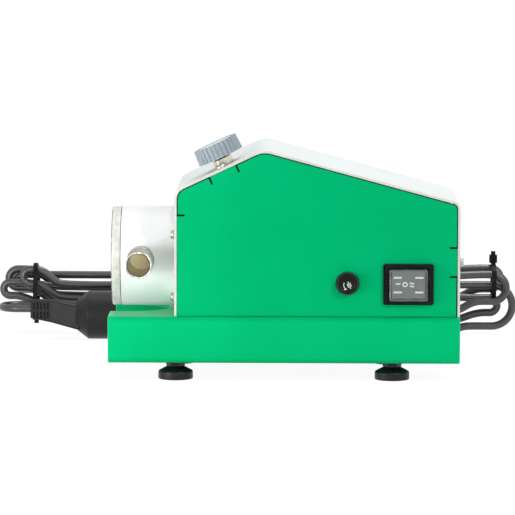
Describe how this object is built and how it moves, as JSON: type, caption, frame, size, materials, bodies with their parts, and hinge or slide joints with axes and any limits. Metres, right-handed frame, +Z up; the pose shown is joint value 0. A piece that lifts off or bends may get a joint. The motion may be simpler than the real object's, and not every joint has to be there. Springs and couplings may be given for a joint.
{
  "type": "wet grinding sharpener",
  "caption": "Compact bench-top wet grinder: folded base on levelling feet, motor housing, side wet chamber with clear cover and rod guide tube, speed knob, rocker switch and fuse.",
  "frame": {"origin": "on the table, under the middle of the machine's own box, cord left out", "axes": "+X along the base to the right of the operator, +Y away from the operator, +Z up"},
  "size_m": [0.3473, 0.2777, 0.151],
  "materials": {
    "base_green": "satin powder coat",
    "panel_green": "satin powder coat",
    "cover_white": "satin powder coat",
    "chamber_white": "machined, satin",
    "clear_acrylic": "clear, polished edges",
    "nickel_plate": "bright plated",
    "zinc_steel": "zinc plated",
    "nut_brass": "nickel-washed",
    "wheel_grit": "fine grit",
    "hub_aluminium": "turned",
    "seal_rubber": "smooth",
    "can_steel": "plated",
    "magnet_ferrite": "sintered",
    "commutator_copper": "bare",
    "knob_grey": "moulded, fluted",
    "black_plastic": "moulded",
    "foot_black": "moulded",
    "rocker_grey": "moulded",
    "fuse_glass": "clear",
    "board_laminate": "laminate",
    "cord_grey": "smooth sheath"
  },
  "bodies": {
    "frame": {"base_frame": "base_green", "front_panel": "panel_green", "rear_panel": "panel_green", "top_cover": "cover_white", "chamber_body": "chamber_white", "chamber_cover": "clear_acrylic", "switch_splash_cap": "clear_acrylic", "guide_tube": "nickel_plate", "cover_screws": "zinc_steel", "base_screws": "zinc_steel", "foot_nuts": "zinc_steel", "chamber_screws": "zinc_steel", "motor_screws": "zinc_steel", "front_bearing": "zinc_steel", "rear_bearing": "zinc_steel", "potentiometer_nut": "nut_brass", "motor_plate": "hub_aluminium", "motor_front_cap": "hub_aluminium", "motor_rear_cap": "hub_aluminium", "cover_seal": "seal_rubber", "shaft_seal": "seal_rubber", "motor_can": "can_steel", "motor_magnets": "magnet_ferrite", "motor_brushes": "magnet_ferrite", "switch_terminals": "commutator_copper", "plug_pins": "commutator_copper", "switch_body": "black_plastic", "fuse_holder": "black_plastic", "fuse_nut": "black_plastic", "brush_plate": "black_plastic", "cable_gland": "black_plastic", "gland_nut": "black_plastic", "tie_left": "black_plastic", "tie_right": "black_plastic", "speed_potentiometer": "black_plastic", "board_components": "black_plastic", "board_standoffs": "black_plastic", "control_board": "board_laminate", "mains_lead": "cord_grey", "cord_hank": "cord_grey", "plug_body": "cord_grey"},
    "spindle": {"motor_shaft": "zinc_steel", "wheel_hub": "hub_aluminium", "grinding_wheel": "wheel_grit", "wheel_washer": "zinc_steel", "wheel_nut": "zinc_steel", "rotor_core": "can_steel", "commutator": "commutator_copper"},
    "knob": {"speed_knob": "knob_grey", "knob_shaft": "zinc_steel"},
    "rocker": {"switch_rocker": "rocker_grey"},
    "fuse_carrier": {"fuse_carrier": "black_plastic", "fuse_cartridge": "fuse_glass"},
    "fuse_cap": {"fuse_cap": "black_plastic"},
    "foot_front_left": {"foot_front_left": "foot_black"},
    "foot_front_right": {"foot_front_right": "foot_black"},
    "foot_rear_left": {"foot_rear_left": "foot_black"},
    "foot_rear_right": {"foot_rear_right": "foot_black"}
  },
  "joints": [
    {"name": "wheel_spin", "type": "hinge", "parent": "frame", "child": "spindle", "pos_m": [-0.0011, 0.0025, 0.0722], "axis": [1, 0, 0], "continuous": true},
    {"name": "knob_turn", "type": "hinge", "parent": "frame", "child": "knob", "pos_m": [-0.0378, -0.0305, 0.13155], "axis": [-0.4226, 0, 0.9063], "range_deg": [-150, 150]},
    {"name": "rocker_tilt", "type": "hinge", "parent": "frame", "child": "rocker", "pos_m": [0.07495, -0.0505, 0.0602], "axis": [0, 0, 1], "range_deg": [-8, 8]},
    {"name": "fuse_pull", "type": "slide", "parent": "frame", "child": "fuse_carrier", "axis": [0, -1, 0], "range_m": [0, 0.026]},
    {"name": "fuse_cap_turn", "type": "hinge", "parent": "fuse_carrier", "child": "fuse_cap", "pos_m": [0.03775, -0.0545, 0.0607], "axis": [0, -1, 0], "range_deg": [0, 60]},
    {"name": "foot_front_left_level", "type": "slide", "parent": "frame", "child": "foot_front_left", "axis": [0, 0, 1], "range_m": [-0.006, 0]},
    {"name": "foot_front_right_level", "type": "slide", "parent": "frame", "child": "foot_front_right", "axis": [0, 0, 1], "range_m": [-0.006, 0]},
    {"name": "foot_rear_left_level", "type": "slide", "parent": "frame", "child": "foot_rear_left", "axis": [0, 0, 1], "range_m": [-0.006, 0]},
    {"name": "foot_rear_right_level", "type": "slide", "parent": "frame", "child": "foot_rear_right", "axis": [0, 0, 1], "range_m": [-0.006, 0]}
  ]
}
